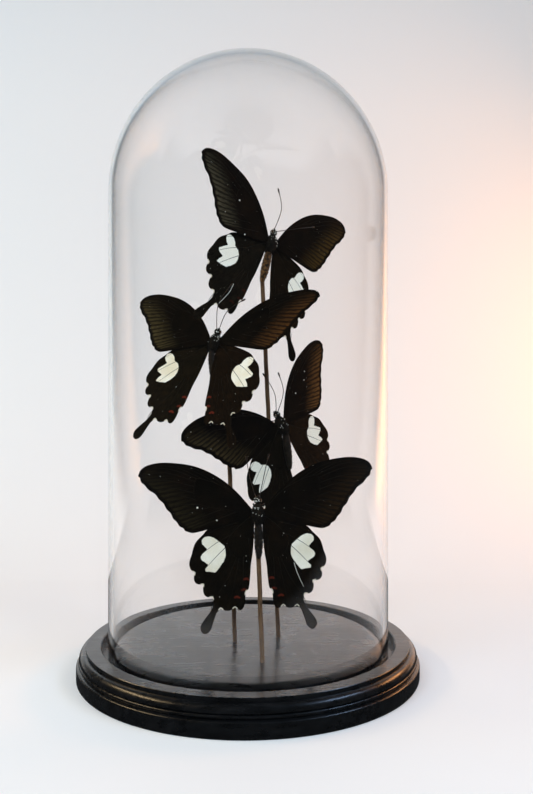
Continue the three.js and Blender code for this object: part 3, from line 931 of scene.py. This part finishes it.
# ---------- room, light and camera ----------
def make_sheet_of_room(name, line, half_width):
    """A pale sheet that follows a line of (y, z) points."""
    bm = bmesh.new()
    verts = [bm.verts.new((-half_width, y, z)) for y, z in line]
    edges = [bm.edges.new(pair) for pair in zip(verts, verts[1:])]
    made = bmesh.ops.extrude_edge_only(bm, edges=edges)["geom"]
    moved = [g for g in made if isinstance(g, bmesh.types.BMVert)]
    bmesh.ops.translate(bm, vec=(2 * half_width, 0, 0), verts=moved)
    for face in bm.faces:
        face.smooth = True
    mesh = bpy.data.meshes.new(name)
    bm.to_mesh(mesh)
    bm.free()
    mesh.materials.append(pale_room(half_width))
    sheet = bpy.data.objects.new(name, mesh)
    bpy.context.scene.collection.objects.link(sheet)
    return sheet


def pale_room(half_width):
    """Matt white paint, with painted shade: it darkens towards its far edges, so the glass mirrors no
    hard line.
    """
    material, tree, shader = start("pale matt paint")
    place = add(tree, "ShaderNodeTexCoord").outputs["Object"]
    place = add(tree, "ShaderNodeSeparateXYZ", [("Vector", place)])
    aside = add(tree, "ShaderNodeMath", [(0, place.outputs["X"])], operation="ABSOLUTE").outputs[0]
    middle = ramp(tree, aside, half_width, EVEN_SHARE * half_width)
    behind = ramp(tree, place.outputs["Y"], TABLE_EDGE, TABLE_EDGE + EDGE_FADE)
    # Painted shade: black towards the sheet's far sides and the table's front edge.
    colour = blended(tree, times(tree, middle, behind), linear("#000000"), linear("#eceaea"))
    tree.links.new(colour, shader.inputs["Base Color"])
    shader.inputs["Roughness"].default_value = 0.9
    return material


def soft_light(name, place, aim, size, watts, colour, mirrored=False):
    """A soft lamp. It doesn't show in the glass, and shows in the lacquered wood only if mirrored."""
    light = bpy.data.lights.new(name, "AREA")
    light.shape = "RECTANGLE"
    light.size, light.size_y = size
    light.energy = watts
    light.color = linear(colour)[:3]
    lamp = bpy.data.objects.new(name, light)
    lamp.location = place
    lamp.rotation_euler = (Vector(aim) - Vector(place)).to_track_quat("-Z", "Y").to_euler()
    lamp.visible_glossy = mirrored
    lamp.light_linking.receiver_collection = unlit
    bpy.context.scene.collection.objects.link(lamp)


# The room, the lamps and the camera are in metres.
BEND = 0.6  # radius of the curve between floor and wall
WALL_TOP = 2.4
TABLE_EDGE = -0.27
EDGE_FADE = 0.11  # how far the painted shade at the table's edge reaches
EVEN_SHARE = 0.55  # how much of a sheet's width is evenly pale
FLOOR_END = 0.2
# The table ends a little before the base: the dark room beyond keeps the glass clear.
table = make_sheet_of_room("pale_floor", [(TABLE_EDGE, 0), (FLOOR_END, 0)], 0.5)
table.visible_glossy = False
bent_line = [(FLOOR_END + BEND * math.sin(a), BEND - BEND * math.cos(a))
             for a in (math.radians(5 * k) for k in range(19))]
# No wider than this, so that only the edges of the glass mirror it.
make_sheet_of_room("pale_wall", bent_line + [(FLOOR_END + BEND, WALL_TOP)], 0.85)

unlit = bpy.data.collections.new("not_lit_by_lamps")
unlit.objects.link(dome)
unlit.collection_objects[0].light_linking.link_state = "EXCLUDE"
soft_light("key_left", (-0.75, -0.8, 1.25), (0, 0, 0.14), (0.7, 0.7), 7.9, "#dcefff")
soft_light("key_right", (0.85, -0.7, 1.05), (0, 0, 0.14), (0.6, 0.6), 5.7, "#f9f4e2")
soft_light("wall_left", (-0.85, 0.15, 0.7), (-0.55, 0.8, 0.35), (0.6, 0.6), 2.0, "#bfe8ff")
soft_light("wall_right", (0.66, 0.42, 0.14), (0.4, 0.8, 0.1), (0.35, 0.35), 1.8, "#ffaa34")
soft_light("front", (0, -1.2, 0.85), (0, -0.1, 0.1), (0.7, 0.4), 13.3, "#dcf0ff")
# Long lamps that put a shine on the turned edge.
soft_light("shine_left", (-0.9, -0.1, 0.72), (0, 0, 0), (0.8, 0.12), 4.2, "#ffdfae", True)
soft_light("shine_right", (0.8, -0.2, 0.9), (0, 0, 0), (0.5, 0.12), 2.6, "#b4d4ff", True)
soft_light("shine_back", (0.75, 0.45, 0.5), (0, 0, 0), (0.4, 0.12), 2.4, "#ffb070", True)

world = bpy.data.worlds.new("room")
bpy.context.scene.world = world
world.use_nodes = True
world.node_tree.nodes["Background"].inputs["Color"].default_value = linear("#e8ecf4")
world.node_tree.nodes["Background"].inputs["Strength"].default_value = 0.04

LENS_MM = 35.27
SENSOR_MM = 36
CAMERA_PLACE = (0.0097, -0.4237, 0.1471)
camera = bpy.data.cameras.new("camera")
camera.lens = LENS_MM
camera.sensor_fit = "VERTICAL"
camera.sensor_height = SENSOR_MM
camera.clip_start = 0.01
eye = bpy.data.objects.new("camera", camera)
eye.location = CAMERA_PLACE
eye.rotation_euler = (math.radians(90), 0, 0)
bpy.context.scene.collection.objects.link(eye)
bpy.context.scene.camera = eye
bpy.context.scene.view_settings.view_transform = "Standard"
